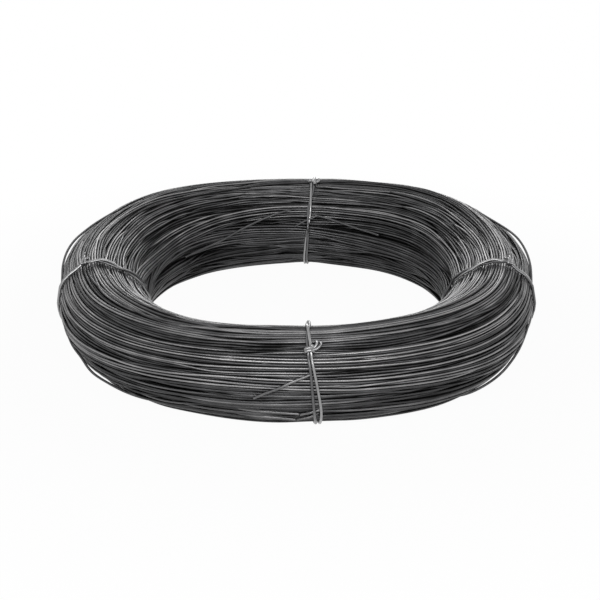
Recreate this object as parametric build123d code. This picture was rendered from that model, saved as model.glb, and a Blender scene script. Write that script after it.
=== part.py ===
from build123d import *
import os
from math import cos, radians, sin

# A coil of annealed steel wire, tied in four places with doubled wire.
# Lengths are millimetres, angles degrees. +Z is up and the front of the coil faces -Y.
# The origin is on the floor, under the middle of the coil.

# The coil, seen from above: flat arcs at the front, right, back and left, joined by tighter bays.
bay_radius = 255.8      # middle of the coil to the middle of its section, at a bay
flat_inset = 11.5       # how much nearer the section's middle lies at a flat
arc_angle = 45.0        # what each of the eight arcs turns through

# The coil's section: an oval that leans, because the loose top turns spread outward.
section_long = 132.4
section_short = 105.3
section_end_radius = 44.0
section_lean = 48.4     # long axis above level, leaning up and outward

# The turns lie in uneven rounds. Between each two is a groove, given by the way the coil's surface
# faces there: 0 is outward, 90 up, 180 towards the bore and 270 down.
groove_facings = (-55, -35, -16, -1, 11, 22, 44, 68, 92, 112, 129, 145, 159, 181, 208, 244, 276)
groove_depth = 4.2
bearing_depth = 0.8     # how far the coil's own weight flattens its lowest turns

# The doubled tie wires, each seated in a waist that it has drawn into the coil.
wire = 3.0
strand_gap = 0.05       # between the two strands of a tie
wire_sides = 6
seat_clearance = 0.15   # between a tie and the turns under it
waist_width = 15.0
waist_depth = 4.8
bridge_width = 1.0      # what fuses the two strands of a tie where they touch
tie_bends = 24          # the taut wire goes round the section in short straight runs

# Each tie: the flat it is on, how far along that flat's arc, and where its knot is on the section.
tie_angles = {
    "front_tie": (0.0, 3.1, 50.0),
    "right_tie": (90.0, -12.3, 70.0),
    "back_tie": (180.0, -3.7, 95.0),
    "left_tie": (270.0, 12.3, 70.0),
}

# The knot: the tie's ends twisted together, then cut off as two curled tails.
twist_length = 13.0
twist_angle = 450.0
twist_steps = 8         # a strand's end is drawn in short straight runs too
twist_rise = 24.0       # how steeply the twist leaves the coil's surface
tail_bend_radius = 5.0
tail_angle = 110.0
tail_steps = 4


def oval_point(direction, inset=0.0):
    """The point of the section's outline that faces a direction, given in degrees above the long axis."""
    half_long = section_long / 2
    half_short = section_short / 2
    reach = half_long - section_end_radius
    side_radius = (half_short**2 + reach**2 - section_end_radius**2) / (2 * (half_short - section_end_radius))
    drop = side_radius - half_short
    x = cos(radians(direction))
    y = sin(radians(direction))
    if abs(y) * reach < abs(x) * drop:
        centre = (reach if x > 0 else -reach, 0.0)
        radius = section_end_radius - inset
    else:
        centre = (0.0, -drop if y > 0 else drop)
        radius = side_radius - inset
    across = centre[0] + radius * x
    up = centre[1] + radius * y
    lean = radians(section_lean)
    return (across * cos(lean) - up * sin(lean), across * sin(lean) + up * cos(lean))


def rounds_outline():
    """The section's outline, sunk at each groove, with the crest of a round between each two."""
    points = []
    following = groove_facings[1:] + (groove_facings[0] + 360,)
    for facing, next_facing in zip(groove_facings, following):
        points.append(oval_point(facing - section_lean, groove_depth))
        points.append(oval_point((facing + next_facing) / 2 - section_lean))
    return make_face(Polyline(*points, close=True))


turns_outline = rounds_outline()
lowest = turns_outline.bounding_box().min.Y
turns_outline -= Pos(0, lowest) * Rectangle(section_long, 2 * bearing_depth)
floor_height = -lowest - bearing_depth

# The eight arcs' radii and centres follow from the two sizes above and from their tangent joints.
half_arc = radians(arc_angle / 2)
centre_share = sin(half_arc) / sin(2 * half_arc)
radius_step = flat_inset / (2 * centre_share - 1)
centre_shift = centre_share * radius_step
flat_arc_radius = bay_radius - flat_inset + centre_shift
bay_arc_radius = bay_radius - centre_shift


def sector(arc_radius, shift, azimuth):
    """One arc of the coil. Its axis stands off the coil's middle by the shift."""
    section = Rot(0, 0, -arc_angle / 2) * Pos(arc_radius, 0, floor_height) * (Plane.XZ * turns_outline)
    return Rot(0, 0, azimuth - 90) * Pos(shift, 0, 0) * revolve(section, Axis.Z, arc_angle)


def station(flat, along):
    """The place of a tie's plane on the coil, with X outward, Y along the turns and Z up."""
    return Rot(0, 0, flat - 90) * Pos(-centre_shift, 0, 0) * Rot(0, 0, along) * Pos(flat_arc_radius, 0, floor_height)


def tie_corners(inset):
    """Where a tie bends, at an inset under the section's outline."""
    return [oval_point(360.0 * n / tie_bends, inset) for n in range(tie_bends)]


def waist():
    """What a tie has squeezed out of the section: all that stands above the waist's floor."""
    floor = make_face(Polyline(*tie_corners(waist_depth), close=True))
    ring = Plane.XZ * (Circle(section_long) - floor)
    return extrude(ring, waist_width / 2, both=True)


def make_coil():
    arcs = []
    for quarter in range(4):
        arcs.append(sector(flat_arc_radius, -centre_shift, 90 * quarter))
        arcs.append(sector(bay_arc_radius, centre_shift, 90 * quarter + 45))
    ring = arcs[0].fuse(*arcs[1:])
    for flat, along, knot in tie_angles.values():
        ring -= station(flat, along) * waist()
    return ring.solids()[0]


def strand_pair():
    """The two strands side by side, as a flat figure centred on its origin."""
    strand = RegularPolygon(wire / 2, wire_sides, major_radius=False)
    offset = (wire + strand_gap) / 2
    bridge = Rectangle(offset, bridge_width)
    return Pos(-offset, 0) * strand + Pos(offset, 0) * strand + bridge


def twisted_end(side):
    """One strand's end: it winds round the other one, then curls away as a cut tail."""
    around = (wire + strand_gap) / 2
    route = []
    for n in range(twist_steps + 1):
        turned = radians(side + twist_angle * n / twist_steps)
        route.append((around * cos(turned), around * sin(turned), twist_length * n / twist_steps))
    last = radians(side + twist_angle)
    for n in range(1, tail_steps + 1):
        bent = radians(tail_angle * n / tail_steps)
        out = around + tail_bend_radius * (1 - cos(bent))
        route.append((out * cos(last), out * sin(last), twist_length + tail_bend_radius * sin(bent)))
    first = Vector(route[1]) - Vector(route[0])
    section = Plane(route[0], z_dir=first) * RegularPolygon(wire / 2, wire_sides, major_radius=False)
    return sweep(section, Polyline(*route), transition=Transition.RIGHT)


def make_tie(flat, along, knot):
    """A doubled wire drawn round the section, with its ends twisted together and cut."""
    seat = waist_depth - seat_clearance - wire / 2
    corners = tie_corners(seat)
    start = ((corners[0][0] + corners[-1][0]) / 2, (corners[0][1] + corners[-1][1]) / 2)
    run = [Vector(x, 0, y) for x, y in [start] + corners + [start]]
    path = Polyline(*run)
    loop = sweep(Plane(run[0], x_dir=(0, 1, 0), z_dir=run[1] - run[0]) * strand_pair(), path,
                 transition=Transition.RIGHT)

    facing = knot - section_lean
    foot = oval_point(facing, seat - wire / 2)
    heading = radians(knot + 90 - twist_rise)
    direction = Vector(cos(heading), 0, sin(heading))
    root = Plane((foot[0], 0, foot[1]), x_dir=(0, 1, 0), z_dir=direction)
    tie = loop
    for side in (0, 180):
        tie += root * twisted_end(side)
    return station(flat, along) * tie


os.makedirs("parts", exist_ok=True)
pieces = {"coil": make_coil()}
for name, (flat, along, knot) in tie_angles.items():
    pieces[name] = make_tie(flat, along, knot)

for name, piece in pieces.items():
    box = piece.bounding_box()
    print(name, len(piece.solids()), round(piece.volume), box.min, box.max)
    export_step(piece, f"parts/{name}.step")
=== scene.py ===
import bpy
import numpy as np
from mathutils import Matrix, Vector


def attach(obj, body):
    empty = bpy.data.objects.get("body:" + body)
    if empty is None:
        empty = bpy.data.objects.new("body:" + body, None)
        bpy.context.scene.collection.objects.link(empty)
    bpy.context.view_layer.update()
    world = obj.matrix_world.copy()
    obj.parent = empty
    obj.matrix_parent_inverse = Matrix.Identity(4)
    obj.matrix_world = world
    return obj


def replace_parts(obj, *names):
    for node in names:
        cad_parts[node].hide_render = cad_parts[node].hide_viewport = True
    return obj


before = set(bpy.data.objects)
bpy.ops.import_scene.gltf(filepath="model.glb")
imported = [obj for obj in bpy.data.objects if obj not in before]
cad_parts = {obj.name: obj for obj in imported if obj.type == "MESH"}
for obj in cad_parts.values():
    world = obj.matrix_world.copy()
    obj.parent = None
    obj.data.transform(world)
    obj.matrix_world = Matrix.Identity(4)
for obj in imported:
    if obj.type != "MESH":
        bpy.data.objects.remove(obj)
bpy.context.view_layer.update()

# A coil of annealed steel wire, lying flat, tied in four places with doubled wire.
# Sizes are millimetres and angles are degrees until a mesh is made, which is in metres.
# An azimuth goes round the coil: 0 is the front, 90 the right. A section angle goes round
# the coil's section: 0 is outward, 90 is up, 180 is the bore's side.
MM = 0.001
wire = 3.0
tie_wire = 3.2

# The coil seen from above, as eight tangent arcs: four flats and four tighter bays
bay_radius = 255.8
flat_inset = 11.5
half_arc = 22.5

# The section is an oval whose top leans outward. It is drawn in towards the flats, by a power of
# how near they are.
middle_height = 61.1
half_width_bay = 59.2
half_width_flat = 52.9
half_height_bay = 61.1
half_height_flat = 58.3
lean = 0.218
draw_power = 0.567
draw_least = 0.01

# Where the turns are piled a little higher or lower: (azimuth, height, reach round the coil)
crown_swells = ((-2.0, 2.0, 10.0), (-29.0, -3.2, 14.0))

# The turns that show lie in three layers over packed ones that never show. Bundles of turns
# ride across the outer layer between the ties.
slices = 180
layer_counts = (99, 100, 80)
layer_step = 2.8
layer_unevenness = 0.35
shell_depth = 12.0
band_size = 6
bundle_count = 7
bundle_size = 5
bundle_spacing = 3.3
bundle_unevenness = 0.3
rider_height = 2.7
rider_rise = 0.6
rider_sink = -0.6

# How turns wander round the coil, each as (reach, number of waves). Bands of turns, single
# turns and bundles wander round the section in degrees, and dive or rise in millimetres.
band_wander = (3.2, 6)
own_wander = (2.2, 9)
own_dive = (1.1, 7)
dive_limits = (-1.5, 4.0)
bundle_sweep = (9.0, 4)
bundle_rise = (1.6, 5)
rider_wander = (1.2, 7)
rider_dive = (0.6, 6)
wave_fall = 0.6

# How the turns are pressed together, in rounds of small moves. Their middles keep a little more
# than a wire apart, because they lie loose.
turn_spacing = 3.25
press_rounds = 150
settling_rounds = 12
lookup_rounds = 6
lookup_reach = 1.35 * turn_spacing
push_share = 0.30
ease_share = 0.35
settling_share = 0.15
pull_share = 0.014
smoothings = 3

# Where the ties draw the turns together, and how far that reaches along the turns
tie_azimuths = {"front_tie": 3.3, "right_tie": 73.9, "back_tie": 175.0, "left_tie": -73.9}
pinch_depth = 0.3
pinch_reach = 24.0
tightness = 2.0
tie_play = 0.1

# Painted shade on the turns: each is darker on its sides, where it meets its neighbours, than where
# it faces outward, and darker the deeper it has sunk under the coil's surface. Low in the bore the
# turns are painted darker still, as shade: (section angle, change, reach).
tube_sides = 6
turn_tones = (0.25, 1.0)
side_shade_level = 0.1
lit_face_spill = 0.1
side_shade_power = 1.5
sunk_shade_depth = 4.0
sunk_shade_start = 0.4
bore_shade = (205.0, 0.4, 50.0)

rng = np.random.default_rng(41)
slice_azimuths = np.arange(slices) * 360.0 / slices


def cosd(angle):
    return np.cos(np.radians(angle))


def sind(angle):
    return np.sin(np.radians(angle))


def angle_between(one, other):
    return (one - other + 180.0) % 360.0 - 180.0


def swell(off, reach):
    """1 in the middle of something, falling smoothly to 0 beyond its reach."""
    return np.exp(-(off / reach)**2)


# Shape of the coil

arc_share = sind(half_arc) / sind(2 * half_arc)
arc_step = flat_inset / (2 * arc_share - 1)
arc_shift = arc_share * arc_step
flat_arc = bay_radius - flat_inset + arc_shift
bay_arc = bay_radius - arc_shift


def plan_radius(azimuth):
    """From the coil's middle to the middle of its section."""
    off_flat = (azimuth + 45.0) % 90.0 - 45.0
    off_bay = 45.0 - abs(off_flat)
    on_flat = np.sqrt(flat_arc**2 - (arc_shift * sind(off_flat))**2) - arc_shift * cosd(off_flat)
    on_bay = np.sqrt(bay_arc**2 - (arc_shift * sind(off_bay))**2) + arc_shift * cosd(off_bay)
    turned = np.degrees(np.arctan2(abs(on_flat * sind(off_flat)), on_flat * cosd(off_flat) + arc_shift))
    return np.where(turned < half_arc, on_flat, on_bay)


def drawn_in(azimuth):
    """How far the section is drawn in: 1 at a flat, 0 at a bay."""
    return (cosd(2 * azimuth)**2 + draw_least)**draw_power


def half_width(azimuth):
    return half_width_bay - (half_width_bay - half_width_flat) * drawn_in(azimuth)


def half_height(azimuth):
    height = half_height_bay - (half_height_bay - half_height_flat) * drawn_in(azimuth)
    for at, rise, reach in crown_swells:
        height = height + rise * swell(angle_between(azimuth, at), reach)
    return height


def held(azimuth):
    """How tight the nearest tie holds the turns here: 1 under it, 0 away from it."""
    total = 0.0
    for at in tie_azimuths.values():
        total = total + swell(np.radians(angle_between(azimuth, at)) * bay_radius, pinch_reach)
    return total


def section_point(azimuth, angle, inset):
    """Offsets, outward and up from the section's middle, of a point under the coil's surface."""
    wide = half_width(azimuth) - inset
    tall = half_height(azimuth) - inset
    up = tall * sind(angle)
    return np.stack(np.broadcast_arrays(wide * cosd(angle) + lean * up, up), axis=-1)


def placed(azimuth, offsets):
    """Offsets in the section at an azimuth, as places in the frame."""
    radius = plan_radius(azimuth) + offsets[..., 0]
    up = middle_height + offsets[..., 1]
    return np.stack(np.broadcast_arrays(radius * sind(azimuth), -radius * cosd(azimuth), up), axis=-1)


def measured(places, azimuths):
    """Each place's depth under the coil's surface, its section angle, and the way outward."""
    wide = half_width(azimuths)[:, None]
    tall = half_height(azimuths)[:, None]
    across = (places[..., 0] - lean * places[..., 1]) / wide
    up = places[..., 1] / tall
    size = np.sqrt(across**2 + up**2)
    slope = np.stack([across / wide, up / tall - lean * across / wide], axis=-1) / size[..., None]
    steep = np.sqrt((slope**2).sum(-1))
    return (1.0 - size) / steep, np.degrees(np.arctan2(up, across)), slope / steep[..., None]


# Gaps between the turns

def wander(azimuth, reach, waves):
    """A smooth closed wandering of a random shape, zero at azimuth 0."""
    total = 0.0
    for wave in range(1, waves + 1):
        phase = rng.uniform(0.0, 360.0)
        size = reach * rng.uniform(0.5, 1.0) / wave**wave_fall
        total = total + size * (sind(wave * azimuth + phase) - sind(phase))
    return total


# Grooves where the outer turns part. Each is a section angle at the front tie, how wide and
# deep it is there, and how far it wanders round the coil.
grooves = [
    (52.0, 2.2, 4.6, 9.0), (34.0, 1.6, 3.4, 7.0), (24.0, 1.5, 3.2, 6.0), (12.0, 1.4, 3.0, 8.0),
    (-4.0, 1.7, 3.2, 7.0), (-27.0, 1.6, 3.4, 9.0), (-52.0, 1.8, 3.0, 8.0), (71.0, 1.4, 2.6, 8.0),
    (92.0, 1.6, 3.0, 10.0), (112.0, 1.5, 3.0, 9.0), (133.0, 1.7, 3.6, 10.0), (152.0, 1.6, 3.2, 9.0),
    (170.0, 1.8, 3.6, 8.0), (-166.0, 1.5, 3.0, 9.0), (-141.0, 1.7, 3.4, 10.0), (-112.0, 1.6, 3.0, 9.0),
    (-84.0, 1.6, 3.0, 9.0),
]
groove_waves = 4

# Partings: short lens-shaped gaps where neighbouring turns have drawn away from each other. These
# are the limits of how far each reaches round the coil, how fast it climbs round the section as
# it goes, how wide it is round the section, and how deep.
parting_count = 250
parting_reaches = (4.0, 14.0)
parting_climbs = (-0.3, 0.3)
parting_widths = (1.2, 2.5)
parting_depths = (3.5, 8.5)
least_width = 0.2
map_step = 0.5
map_angles = np.arange(0.0, 360.0, map_step)

# Where gaps are shallower or deeper than elsewhere: (section angle, change, reach). Hands and
# other coils have pressed the crown smooth.
depth_changes = ((108.0, -0.65, 42.0), (180.0, 0.5, 35.0), (-40.0, 0.8, 28.0))

# How much of a gap is closed under a tie
gap_closing = 0.7


def deepened(depth, at):
    """A gap's depth, changed for where it lies on the section."""
    for middle, change, reach in depth_changes:
        depth = depth * (1.0 + change * swell(angle_between(at, middle), reach))
    return depth


def gap_depths():
    """How deep the grooves and partings are, at each slice and each section angle of the map."""
    deep = np.zeros((slices, len(map_angles)))
    for at, width, depth, roams in grooves:
        off = angle_between(map_angles, (at + wander(slice_azimuths, roams, groove_waves))[:, None])
        deep = np.maximum(deep, deepened(depth, at) * swell(off, width))
    for _ in range(parting_count):
        middle, at = rng.uniform(0.0, 360.0, 2)
        along = angle_between(slice_azimuths, middle)
        lens = np.exp(-(along / rng.uniform(*parting_reaches))**4)
        off = angle_between(map_angles, (at + rng.uniform(*parting_climbs) * along)[:, None])
        width = rng.uniform(*parting_widths) * lens[:, None] + least_width
        depth = deepened(rng.uniform(*parting_depths), at)
        deep = np.maximum(deep, depth * lens[:, None] * np.exp(-(off / width)**4))
    return deep


gap_map = gap_depths()


# The turns: each slice of the coil holds every turn once, and the turns push each other apart

def layer_targets(azimuths, loose):
    """Where the turns of the layers tend to lie. Those side by side share a band's wandering."""
    targets = []
    for layer, count in enumerate(layer_counts):
        bands = np.array([wander(azimuths, *band_wander) for _ in range(count // band_size)])
        for number in range(count):
            uneven = rng.uniform(-layer_unevenness, layer_unevenness)
            angle = 360.0 * (number + 0.5 * layer + uneven) / count
            spot = number / band_size
            low = int(spot) % len(bands)
            share = spot - int(spot)
            band = (1 - share) * bands[low] + share * bands[(low + 1) % len(bands)]
            own = wander(azimuths, *own_wander)
            dive = np.clip(wander(azimuths, *own_dive), *dive_limits)
            inset = wire / 2 + layer_step * layer + dive * loose
            targets.append(section_point(azimuths, angle + (band + own) * loose, inset))
    return targets


def bundle_targets(azimuths, loose):
    """Where the turns of the bundles tend to lie: side by side, over the outer layer."""
    targets = []
    for bundle in range(bundle_count):
        middle = 360.0 * (bundle + rng.uniform(-bundle_unevenness, bundle_unevenness)) / bundle_count
        sweep = wander(azimuths, *bundle_sweep)
        rise = wander(azimuths, *bundle_rise)
        for number in range(bundle_size):
            beside = bundle_spacing * (number - bundle_size / 2)
            angle = middle + beside + sweep + wander(azimuths, *rider_wander)
            height = rise + wander(azimuths, *rider_dive) + rider_rise
            height = np.clip(height, rider_sink, rider_height)
            targets.append(section_point(azimuths, angle, wire / 2 - height * loose))
    return targets


def near_pairs(places, reach):
    """Turns that lie within reach of each other in the same slice."""
    first, second = [], []
    count = places.shape[1]
    for number in range(slices):
        apart = places[number, :, None, :] - places[number, None, :, :]
        near = np.triu((apart**2).sum(-1) < reach**2, 1)
        one, other = np.nonzero(near)
        first.append(one + number * count)
        second.append(other + number * count)
    return np.concatenate(first), np.concatenate(second)


def pushed_apart(places, first, second):
    """The turns after each pair nearer than the spacing has pushed itself apart a little."""
    flat = places.reshape(-1, 2)
    apart = flat[first] - flat[second]
    distance = np.sqrt((apart**2).sum(-1)) + 1e-6
    push = push_share * np.maximum(turn_spacing - distance, 0.0) / distance
    move = apart * push[:, None]
    shift = np.zeros_like(flat)
    for axis in (0, 1):
        shift[:, axis] += np.bincount(first, move[:, axis], flat.shape[0])
        shift[:, axis] -= np.bincount(second, move[:, axis], flat.shape[0])
    return (flat + shift).reshape(places.shape)


def lay_turns():
    """Lays the turns where they tend to lie and presses them together. They stay smooth along their
    length, and keep under the coil's surface, out of its gaps, inside its ties and off the floor."""
    azimuths = slice_azimuths
    tight = held(azimuths)[:, None]
    loose = np.exp(-tightness * held(azimuths))
    targets = layer_targets(azimuths, loose) + bundle_targets(azimuths, loose)
    targets = np.stack(targets, axis=1)
    places = targets.copy()
    rider = np.arange(places.shape[1]) >= sum(layer_counts)
    slice_numbers = np.arange(slices)[:, None]
    pinch = pinch_depth * tight
    lowest = wire / 2 - middle_height + (tie_wire + tie_play) * tight
    parted = 1.0 - gap_closing * tight
    for step in range(press_rounds):
        if step % lookup_rounds == 0:
            first, second = near_pairs(places, lookup_reach)
        places = pushed_apart(places, first, second)
        ease = ease_share if step < press_rounds - settling_rounds else settling_share
        beside = (np.roll(places, 1, axis=0) + np.roll(places, -1, axis=0)) / 2
        places = places + ease * (beside - places)
        places = places + pull_share * (targets - places)
        depth, angles, outward = measured(places, azimuths)
        map_numbers = np.round(angles / map_step).astype(int) % len(map_angles)
        gap = gap_map[slice_numbers, map_numbers] * parted
        inset = wire / 2 + pinch + np.where(rider, -rider_height * loose[:, None], gap)
        kept = np.clip(depth, inset, shell_depth + pinch)
        places = places + outward * (depth - kept)[..., None]
        places[..., 1] = np.maximum(places[..., 1], lowest)
    for _ in range(smoothings):
        places = (np.roll(places, 1, axis=0) + 2 * places + np.roll(places, -1, axis=0)) / 4
    places[..., 1] = np.maximum(places[..., 1], lowest)
    return places


# Meshes

def add_mesh(name, tubes, material):
    """A smooth mesh in metres that rides on the coil. Each tube is its points, its lists of faces
    with equal corners, and its tone: one for the wire or one for each point."""
    points = np.concatenate([tube[0] for tube in tubes])
    tones = np.concatenate([np.broadcast_to(tube[2], len(tube[0])) for tube in tubes])
    starts = np.cumsum([0] + [len(tube[0]) for tube in tubes])
    faces = [part + start for tube, start in zip(tubes, starts) for part in tube[1]]
    face_points = np.concatenate([part.ravel() for part in faces])
    counts = np.concatenate([np.full(len(part), part.shape[1]) for part in faces])
    mesh = bpy.data.meshes.new(name)
    mesh.vertices.add(len(points))
    mesh.vertices.foreach_set("co", (points * MM).astype(np.float32).ravel())
    mesh.loops.add(len(face_points))
    mesh.loops.foreach_set("vertex_index", face_points.astype(np.int32))
    mesh.polygons.add(len(counts))
    mesh.polygons.foreach_set("loop_start", (np.cumsum(counts) - counts).astype(np.int32))
    mesh.update(calc_edges=True)
    mesh.polygons.foreach_set("use_smooth", counts == 4)
    tone = mesh.attributes.new("tone_and_painted_shade", "FLOAT", "POINT")
    tone.data.foreach_set("value", tones.astype(np.float32))
    mesh.materials.append(material)
    piece = bpy.data.objects.new(name, mesh)
    bpy.context.collection.objects.link(piece)
    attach(piece, "root")
    return piece


def ring_faces(rings, sides, closed):
    """Four-sided faces between one ring of points and the next."""
    last = rings if closed else rings - 1
    ring = np.arange(last)[:, None]
    side = np.arange(sides)[None, :]
    next_ring = (ring + 1) % rings
    next_side = (side + 1) % sides
    return np.stack(np.broadcast_arrays(ring * sides + side, ring * sides + next_side,
                                        next_ring * sides + next_side, next_ring * sides + side),
                    axis=-1).reshape(-1, 4)


def turn_tube(offsets, depth, angle, outward, radius, sides):
    """One closed turn, from its place in each slice. Its tone is painted lighter where it faces outward
    and darker, as shade, on its sides, in the bore, and where it has sunk among the others."""
    spin = np.arange(sides)[None, :, None] * 360.0 / sides
    across = np.stack([-outward[:, 1], outward[:, 0]], axis=-1)
    ring = radius * (cosd(spin) * outward[:, None, :] - sind(spin) * across[:, None, :])
    points = placed(slice_azimuths[:, None], offsets[:, None, :] + ring)
    # Painted shade: each turn is darker on its sides, where it meets its neighbours, than where it faces
    # outward.
    facing_out = np.clip((cosd(spin[0, :, 0]) + lit_face_spill) / (1.0 + lit_face_spill), 0.0, 1.0)
    side_shading = side_shade_level + (1.0 - side_shade_level) * facing_out**side_shade_power
    # Painted shade: a turn is darker the deeper it has sunk under the coil's surface.
    near_surface = np.clip(1.0 - (depth - wire / 2 - sunk_shade_start) / sunk_shade_depth, 0.0, 1.0)
    # Painted shade: turns low in the bore are darker.
    bore_angle, darker, reach = bore_shade
    tone = rng.uniform(*turn_tones) * near_surface
    tone = tone * (1.0 - darker * swell(angle_between(angle, bore_angle), reach))
    tones = tone[:, None] * side_shading[None, :]
    return points.reshape(-1, 3), [ring_faces(slices, sides, True)], tones.ravel()


def unit(vectors):
    return vectors / np.linalg.norm(vectors, axis=-1, keepdims=True)


def wire_tube(path, radius, sides, tone, closed=False):
    """A round wire along a path, with flat cut ends unless it is closed."""
    if closed:
        ahead = unit(np.roll(path, -1, axis=0) - np.roll(path, 1, axis=0))
    else:
        ahead = unit(np.gradient(path, axis=0))
    some_way = (0.31, 0.47, 0.83)
    side = np.cross(ahead[0], some_way)
    carried = []
    for direction in ahead:
        side = unit(side - direction * (side @ direction))
        carried.append(side)
    across = np.array(carried)
    beside = np.cross(ahead, across)
    spin = np.arange(sides)[None, :] * 360.0 / sides
    if closed:
        slip = np.degrees(np.arctan2(across[-1] @ beside[0], across[-1] @ across[0]))
        spin = spin - slip * np.arange(len(path))[:, None] / len(path)
    ring = cosd(spin)[..., None] * across[:, None, :] + sind(spin)[..., None] * beside[:, None, :]
    points = (path[:, None, :] + radius * ring).reshape(-1, 3)
    faces = [ring_faces(len(path), sides, closed)]
    if not closed:
        first_end = np.arange(sides)[::-1]
        last_end = np.arange(sides) + (len(path) - 1) * sides
        faces.append(np.stack([first_end, last_end]))
    return points, faces, tone


def smooth_route(points, steps):
    """A smooth line through given points, with so many steps between each two."""
    points = np.asarray(points, dtype=float)
    before = np.vstack([2 * points[0] - points[1], points[:-2]])
    after = np.vstack([points[2:], 2 * points[-1] - points[-2]])
    here, there = points[:-1, None, :], points[1:, None, :]
    before, after = before[:, None, :], after[:, None, :]
    share = (np.arange(steps) / steps)[None, :, None]
    line = 0.5 * (2 * here + (there - before) * share
                  + (2 * before - 5 * here + 4 * there - after) * share**2
                  + (3 * here - before - 3 * there + after) * share**3)
    return np.vstack([line.reshape(-1, points.shape[1]), points[-1:]])


def eased(values, reach, ends):
    """Values along a line, each averaged with its neighbours."""
    window = np.hanning(2 * reach + 3)[1:-1]
    return np.convolve(np.pad(values, reach, mode=ends), window / window.sum(), mode="valid")


def packed_ring():
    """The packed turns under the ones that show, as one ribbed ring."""
    ribs = 110
    rib_depth = 1.2
    overlap = 1.5
    angle = -np.arange(ribs * 2) * 180.0 / ribs
    depth = shell_depth - overlap + rib_depth * (np.arange(ribs * 2) % 2)
    depth = depth + pinch_depth * held(slice_azimuths)[:, None]
    offsets = section_point(slice_azimuths[:, None], angle[None, :], depth)
    points = placed(slice_azimuths[:, None], offsets)
    # Its tone is 0, the darkest there is: painted shade, as on the sunk turns.
    return points.reshape(-1, 3), [ring_faces(slices, ribs * 2, True)], 0.0


# Materials

def linear(hex_colour):
    """An sRGB hex colour as the linear one that shaders take."""
    parts = [int(hex_colour[at:at + 2], 16) / 255.0 for at in (1, 3, 5)]
    return tuple(part / 12.92 if part <= 0.04045 else ((part + 0.055) / 1.055)**2.4
                 for part in parts) + (1.0,)


def node(tree, kind, settings=None, inputs=None):
    """Adds a shader node with its settings and its inputs: each a value, or an output to link."""
    made = tree.nodes.new(kind)
    for name, value in (settings or {}).items():
        setattr(made, name, value)
    for name, value in (inputs or {}).items():
        if isinstance(value, bpy.types.NodeSocket):
            tree.links.new(value, made.inputs[name])
        else:
            made.inputs[name].default_value = value
    return made


# The annealed oxide: blotches where it is thicker and patches where it is more or less satin, of
# the size they have on such wire. Its grain is about 0.1 mm, too fine to show, so it is drawn
# as 1.2 mm.
blotch_size = 22.0
satin_size = 9.0
grain_size = 1.2
grain_height = 0.1
blotch_share = 0.5
tone_range = (0.25, 1.25)
satin_range = 0.07


def annealed_wire(name, dark, middle, light, roughness):
    """Drawn steel wire annealed black: a thin dark oxide over steel, satin, which makes each turn a
    dark metal with a soft long highlight, in its own tone from black to grey, with painted shade."""
    material = bpy.data.materials.new(name)
    material.use_nodes = True
    tree = material.node_tree
    tree.nodes.clear()
    place = node(tree, "ShaderNodeTexCoord").outputs["Object"]
    tone = node(tree, "ShaderNodeAttribute", {"attribute_name": "tone_and_painted_shade"}).outputs["Fac"]
    blotch = node(tree, "ShaderNodeTexNoise",
                  inputs={"Vector": place, "Scale": 1 / (blotch_size * MM), "Detail": 5.0})
    blend = node(tree, "ShaderNodeMath", {"operation": "MULTIPLY_ADD"},
                 {0: blotch.outputs["Fac"], 1: blotch_share, 2: tone})
    level = node(tree, "ShaderNodeMapRange",
                 inputs={"Value": blend.outputs[0], "From Min": tone_range[0], "From Max": tone_range[1]})
    ramp = node(tree, "ShaderNodeValToRGB", inputs={"Fac": level.outputs["Result"]})
    stops = ramp.color_ramp.elements
    stops.new(0.5)
    for stop, at, colour in zip(stops, (0.0, 0.5, 1.0), (dark, middle, light)):
        stop.position = at
        stop.color = linear(colour)
    satin = node(tree, "ShaderNodeTexNoise",
                 inputs={"Vector": place, "Scale": 1 / (satin_size * MM), "Detail": 4.0})
    rough = node(tree, "ShaderNodeMapRange",
                 inputs={"Value": satin.outputs["Fac"], "To Min": roughness - satin_range,
                         "To Max": roughness + satin_range})
    grain = node(tree, "ShaderNodeTexNoise",
                 inputs={"Vector": place, "Scale": 1 / (grain_size * MM), "Detail": 2.0})
    bump = node(tree, "ShaderNodeBump",
                inputs={"Height": grain.outputs["Fac"], "Strength": 0.03, "Distance": grain_height * MM})
    shader = node(tree, "ShaderNodeBsdfPrincipled",
                  inputs={"Base Color": ramp.outputs["Color"], "Roughness": rough.outputs["Result"],
                          "Normal": bump.outputs["Normal"], "Metallic": 0.85})
    node(tree, "ShaderNodeOutputMaterial", inputs={"Surface": shader.outputs["BSDF"]})
    return material


turn_steel = annealed_wire("black annealed steel wire", "#161616", "#545455", "#a3a2a2", 0.40)
tie_steel = annealed_wire("black annealed tie wire", "#5a5a5b", "#7c7c7d", "#a2a2a2", 0.28)

# The coil. The turns that show are split round the section, so that no piece is too heavy.

places = lay_turns()
depths, angles, outward = measured(places, slice_azimuths)
middle_angle = np.degrees(np.arctan2(sind(angles).mean(0), cosd(angles).mean(0)))
turn_numbers = np.arange(places.shape[1])
buried = (turn_numbers >= sum(layer_counts[:2])) & (turn_numbers < sum(layer_counts))
turn_tubes = [turn_tube(places[:, n], depths[:, n], angles[:, n], outward[:, n], wire / 2, tube_sides)
              for n in turn_numbers]
quarters = {
    "outer_turns": (-50.0, 40.0),
    "crown_turns": (40.0, 130.0),
    "bore_turns": (130.0, 220.0),
    "base_turns": (220.0, 310.0),
}
for name, (low, high) in quarters.items():
    chosen = turn_numbers[((middle_angle - low) % 360.0 < high - low) & ~buried]
    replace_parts(add_mesh(name, [turn_tubes[n] for n in chosen], turn_steel), "coil")
add_mesh("third_turns", [turn_tubes[n] for n in turn_numbers[buried]], turn_steel)
add_mesh("packed_turns", [packed_ring()], turn_steel)

# The ties: a doubled wire pulled tight round all the turns, its ends wound round it and cut.
# A tie's route is where the middle of its pair runs, as (section angle, azimuth, half the space
# between its strands). Its twist is where the strands wind round each other, as (from, to, angle).
# Its tails start at the knot, as places (along the tie, along the turns, outward) from it.

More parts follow.
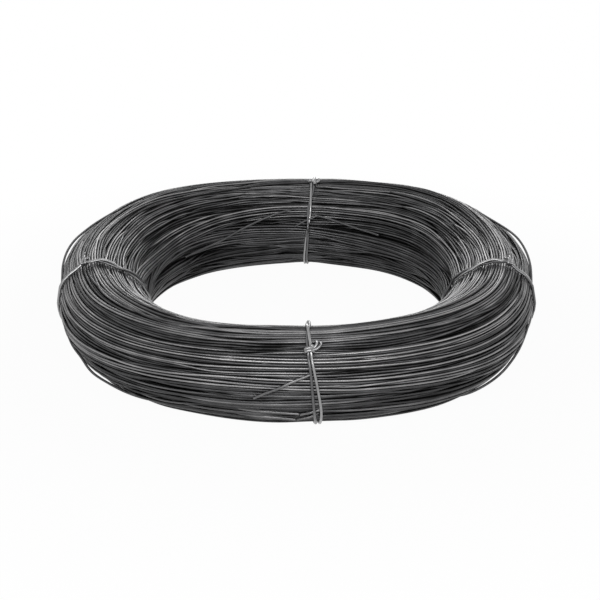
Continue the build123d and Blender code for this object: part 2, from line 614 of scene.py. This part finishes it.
tie_sides = 10
# One strand of each tie is painted dark as shade and the other light as lit: (side, tone).
strand_shade_tones = ((-1, 0.1), (1, 0.8))
end_tones = (0.7, 0.5)
track_reach = 11.0
track_step = 0.5
tie_step = 1.5
drift_easing = 8
gap_easing = 6
knot_reach = 7.0
end_steps = 5
side_twist = (88.0, 160.0, 360.0)
side_knot = 82.0
left_route = [
    (-160, -76.4, 1.7), (-110, -75.2, 1.9), (-60, -73.6, 2.4), (-15, -73.0, 1.9), (38, -73.1, 1.7),
    (66, -73.5, 1.7), (82, -74.3, 1.6), (100, -74.9, 1.6), (125, -73.9, 1.6), (150, -74.4, 1.6),
    (175, -75.8, 1.6),
]
left_tails = [
    [(1, -5, 4.5), (0, -8, 5.5), (1.5, -9.5, 8.5), (2, -9, 11.5)],
    [(-1, 4.5, 4), (-3, 5.5, 4.5), (-5, 5, 5)],
]


def mirrored(rows):
    return [(first, -second, third) for first, second, third in rows]


ties = {
    "front_tie": {
        "route": [(-150, 4.3, 2.2), (-100, 5.0, 2.4), (-57, 5.2, 2.3), (-20, 4.5, 3.9), (3, 3.9, 3.3),
                  (30, 3.2, 1.9), (47, 2.7, 1.6), (64, 2.6, 1.6), (81, 2.6, 1.6), (116, 3.1, 1.6),
                  (165, 3.6, 1.8)],
        "twist": (60.0, 150.0, 360.0),
        "knot": 54.0,
        "tails": [[(2.5, 5, 4.5), (5, 7.5, 5), (8, 8.5, 5.5), (10.5, 7.5, 6.5)],
                  [(0, 6, 4.5), (2.5, 10, 5), (6, 12.5, 5.5), (9.5, 12.5, 6.5)]],
    },
    "left_tie": {"route": left_route, "twist": side_twist, "knot": side_knot, "tails": left_tails},
    "right_tie": {"route": mirrored(left_route), "twist": side_twist, "knot": side_knot,
                  "tails": [mirrored(tail) for tail in left_tails]},
    "back_tie": {
        "route": [(-139, 176.2, 1.7), (-90, 176.0, 2.0), (-30, 175.4, 2.2), (40, 174.8, 1.8),
                  (98, 174.5, 1.7), (118, 174.2, 1.6), (142, 174.7, 1.6), (162, 174.8, 1.6),
                  (-170, 175.5, 1.6)],
        "twist": (114.0, 190.0, 360.0),
        "knot": 106.0,
        "tails": [[(0, -5, 3.5), (-1, -8, 3.5), (-4, -9.5, 4), (-7, -9, 4.5)],
                  [(-1, 4.5, 3.5), (-3, 6.5, 3.5), (-6, 6, 4)]],
    },
}


def tie_track(azimuth):
    """The line of a wire pulled tight round the turns in the section's plane, and its way outward."""
    near = abs(angle_between(slice_azimuths, azimuth)) * np.radians(bay_radius) < track_reach
    turns_inside = places[near].reshape(-1, 2)
    facing = np.arange(0.0, 360.0, track_step)
    way = np.stack([cosd(facing), sind(facing)], axis=-1)
    line = turns_inside[(turns_inside @ way.T).argmax(0)] + (wire + tie_wire) / 2 * way
    seen = measured(line[None], np.array([azimuth]))[1][0]
    return seen, np.hstack([line, way])


def on_tie(track, drift, section_angles, beside, lift):
    """Places on a tie's line: beside is along the turns from its middle, and lift is outward."""
    seen, values = track
    at = [np.interp(section_angles, seen, column, period=360.0) for column in values.T]
    offsets = np.stack([at[0] + lift * at[2], at[1] + lift * at[3]], axis=-1)
    offsets[:, 1] = np.maximum(offsets[:, 1], tie_wire / 2 - middle_height)
    middle = np.interp(section_angles, *drift, period=360.0)
    return placed(middle + np.degrees(beside / (plan_radius(middle) + offsets[..., 0])), offsets)


def wound_end(hand):
    """The way of the end that is wound round the pair at the knot, as places like a tail's."""
    wraps = 2.25
    wrap_step = 30.0
    wrap_width = 1.45
    wrap_rise = 0.97
    slant = 0.4
    slant_start = 60.0
    turned = np.arange(0.0, 360.0 * wraps, wrap_step)
    along = turned / 360.0 - wraps / 2 + slant * sind(turned + slant_start)
    return np.stack([tie_wire * along, hand * wrap_width * tie_wire * cosd(turned),
                     tie_wire * (1.0 + wrap_rise * sind(turned))], axis=-1)


def add_tie(name, route, twist, knot, tails):
    """A tie's two strands, then its two ends. A degree of section angle is about a millimetre."""
    rows = np.array(sorted(route))
    track = tie_track(np.median(rows[:, 1]))
    around = np.arange(-180.0, 180.0, tie_step)
    middles, half_gaps = (np.interp(around, rows[:, 0], rows[:, n], period=360.0) for n in (1, 2))
    drift = (around, eased(middles, drift_easing, "wrap"))
    half_gap = eased(half_gaps, gap_easing, "wrap")
    twist_start, twist_end, twist_angle = twist
    wound = twist_angle * np.clip((around - twist_start) % 360.0 / (twist_end - twist_start), 0.0, 1.0)
    over_knot = tie_wire * swell(angle_between(around, knot), knot_reach)
    tubes = []
    for side, tone in strand_shade_tones:
        lift = tie_wire / 2 * (abs(sind(wound)) + side * sind(wound)) + over_knot
        path = on_tie(track, drift, around, side * half_gap * cosd(wound), lift)
        tubes.append(wire_tube(path, tie_wire / 2, tie_sides, tone, closed=True))
    starts = (wound_end(np.sign(tails[0][0][1])), [(2.0, 0.0, tie_wire)])
    for start, tail, tone in zip(starts, tails, end_tones):
        along, beside, lift = smooth_route(np.vstack([start, tail]), end_steps).T
        path = on_tie(track, drift, knot + along, beside, lift)
        tubes.append(wire_tube(path, tie_wire / 2, tie_sides, tone))
    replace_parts(add_mesh(name + "_strands", tubes, tie_steel), name)


for name, tie in ties.items():
    add_tie(name, **tie)

# Loose wire: cut ends that lie across the turns, and turns that bow out of the coil. Each is a
# route of (azimuth, section angle, height over the turns under it), with hidden ends below them.

hidden = -2.6
sunk = 2 * hidden
left_bow_low = [
    (-62, 12, hidden), (-58.5, 3, -2.2), (-56, -6, -1), (-54, -13, 0.5), (-52, -20, 1.4),
    (-50, -26, 1.6), (-47.5, -32, 1.1), (-44, -39, 0), (-40, -45, -1.2), (-36, -49, hidden),
]
left_bow_high = [
    (-118, 72, hidden), (-111, 66, -1), (-104, 59, 1), (-97, 54, 2.2), (-90, 48, 1.5),
    (-84, 43, -0.2), (-79, 39, -1.8), (-73, 35, hidden),
]
bowed_turns = [left_bow_low, left_bow_high]
bowed_turns += [[(-azimuth, angle, height) for azimuth, angle, height in bow] for bow in bowed_turns]
cut_ends = [
    [(3.1, 27.5, -0.6), (2, 25, -0.4), (-1.2, 18, -0.4), (-3.4, 12, -0.4), (-6.5, 5, -0.5),
     (-8.8, -2, -0.5)],
    [(-14, -29, sunk), (-10, -28, -3.2), (-6, -27, -2), (-3, -26.5, -1), (0.6, -26, 0.9)],
    [(0.8, -28.5, 0.2), (2, -26, -0.2), (3, -24, -0.3), (4, -22.5, -1.2), (5, -21, hidden)],
    [(-15, -39, sunk), (-11, -38, -3.2), (-7, -37, -2), (-3.5, -36.5, -1), (-0.2, -36, 0.9)],
    [(0.1, -38.5, 0.2), (1.3, -36, -0.2), (2.6, -34, -0.3), (3.8, -32.5, -1.2), (5, -31, hidden)],
]
back_ends = [
    [(-178, 149, hidden), (-172, 154, 0.3), (-164.8, 161, 0.5), (-155.8, 170, 0.5),
     (-146.2, 180, 0.3), (-136.2, 185, 0), (-128, 190, hidden)],
    [(176, 152, hidden), (172.2, 156, 0.2), (166, 160, 0.6), (159.2, 165, 0.6), (152.8, 169, 0.3),
     (144, 173, hidden)],
    [(181, 172, hidden), (177.8, 166, 0.3), (174.2, 161, 0.6), (171, 156, 0.2)],
]
loose_sides = 8
route_steps = 9
peak_width = 2.6
peak_steps = 6


def highest_turn(azimuths, section_angles):
    """How far the middles of the turns under a route stand out of the coil's surface."""
    heights = []
    for azimuth, angle in zip(azimuths, section_angles):
        number = int(round(azimuth % 360.0 * slices / 360.0)) % slices
        near = abs(angle_between(angles[number], angle)) < peak_width
        heights.append(-depths[number][near].min())
    peaks = [max(heights[max(0, n - peak_steps):n + peak_steps + 1]) for n in range(len(heights))]
    return eased(np.array(peaks), 2 * peak_steps, "edge")


def loose_wire(route, tone):
    azimuth, angle, height = smooth_route(route, route_steps).T
    out = highest_turn(azimuth, angle) + wire + height
    path = placed(azimuth, section_point(azimuth, angle, -out))
    path[:, 2] = np.maximum(path[:, 2], wire / 2)
    return wire_tube(path, wire / 2, loose_sides, tone)


for name, routes, tone in (("bowed_turns", bowed_turns, 0.4), ("cut_ends", cut_ends, 0.62),
                           ("back_ends", back_ends, 0.45)):
    add_mesh(name, [loose_wire(route, tone) for route in routes], turn_steel)


# Stage, light and camera, in metres

def shows_white(tree):
    """1 for a ray that shows the background itself: seen straight, in metal or through glass."""
    path = node(tree, "ShaderNodeLightPath")
    seen = path.outputs["Is Camera Ray"]
    for ray in ("Is Glossy Ray", "Is Transmission Ray"):
        either = node(tree, "ShaderNodeMath", {"operation": "MAXIMUM"}, {0: seen, 1: path.outputs[ray]})
        seen = either.outputs[0]
    return seen


def add_floor():
    """A floor of matt white paper that keeps the coil's shadow, faint as on a lit sweep. Far from
    the coil it is as white as the world, so that no horizon shows."""
    half = 6.0
    corner_points = [(-half, -half, 0), (half, -half, 0), (half, half, 0), (-half, half, 0)]
    mesh = bpy.data.meshes.new("floor")
    mesh.from_pydata(corner_points, [], [(0, 1, 2, 3)])
    floor = bpy.data.objects.new("floor", mesh)
    bpy.context.collection.objects.link(floor)
    material = bpy.data.materials.new("white paper sweep")
    material.use_nodes = True
    tree = material.node_tree
    tree.nodes.clear()
    place = node(tree, "ShaderNodeTexCoord").outputs["Object"]
    distance = node(tree, "ShaderNodeVectorMath", {"operation": "LENGTH"}, {0: place})
    share = node(tree, "ShaderNodeMapRange",
                 inputs={"Value": distance.outputs["Value"], "From Min": 0.36, "From Max": 0.7,
                         "To Min": 0.965, "To Max": 1.0})
    glow = node(tree, "ShaderNodeMath", {"operation": "MULTIPLY"},
                {0: shows_white(tree), 1: share.outputs["Result"]})
    paper = node(tree, "ShaderNodeBsdfDiffuse", inputs={"Color": linear("#d2d2d2")})
    white = node(tree, "ShaderNodeEmission", inputs={"Color": linear("#ffffff"), "Strength": 1.0})
    mix = node(tree, "ShaderNodeMixShader",
               inputs={0: glow.outputs[0], 1: paper.outputs[0], 2: white.outputs[0]})
    node(tree, "ShaderNodeOutputMaterial", inputs={"Surface": mix.outputs[0]})
    mesh.materials.append(material)


def add_world(strength):
    """A dim even light from all round, behind which the background shows white."""
    world = bpy.data.worlds.new("studio")
    bpy.context.scene.world = world
    world.use_nodes = True
    tree = world.node_tree
    tree.nodes.clear()
    fill = node(tree, "ShaderNodeBackground", inputs={"Color": linear("#ffffff"), "Strength": strength})
    seen = node(tree, "ShaderNodeBackground", inputs={"Color": linear("#ffffff"), "Strength": 1.0})
    mix = node(tree, "ShaderNodeMixShader",
               inputs={0: shows_white(tree), 1: fill.outputs[0], 2: seen.outputs[0]})
    node(tree, "ShaderNodeOutputWorld", inputs={"Surface": mix.outputs[0]})


lit_place = (0.0, 0.0, 0.05)


def add_softbox(name, place, size, power):
    lamp = bpy.data.lights.new(name, "AREA")
    lamp.shape = "RECTANGLE"
    lamp.size, lamp.size_y = size
    lamp.energy = power
    box = bpy.data.objects.new(name, lamp)
    box.location = place
    box.rotation_euler = (Vector(lit_place) - Vector(place)).to_track_quat("-Z", "Y").to_euler()
    bpy.context.collection.objects.link(box)


add_floor()
add_world(0.2)
add_softbox("back_softbox", (0.0, 2.3, 0.6), (1.3, 0.9), 14.0)
add_softbox("front_softbox", (0.0, -1.1, 0.75), (1.2, 0.35), 9.8)
for side in (-1, 1):
    add_softbox("side_softbox", (1.9 * side, 0.3, 1.0), (0.7, 0.5), 2.4)

camera_angle = 25.69
camera_distance = 1.484
camera_data = bpy.data.cameras.new("camera")
camera_data.lens = 67.3
camera_data.sensor_width = 36.0
camera_data.shift_x = 0.0058
camera_data.shift_y = 0.0462
camera = bpy.data.objects.new("camera", camera_data)
camera.location = (0.0, -camera_distance * cosd(camera_angle), camera_distance * sind(camera_angle))
camera.rotation_euler = (-Vector(camera.location)).to_track_quat("-Z", "Y").to_euler()
bpy.context.collection.objects.link(camera)
bpy.context.scene.camera = camera
bpy.context.scene.view_settings.view_transform = "Standard"
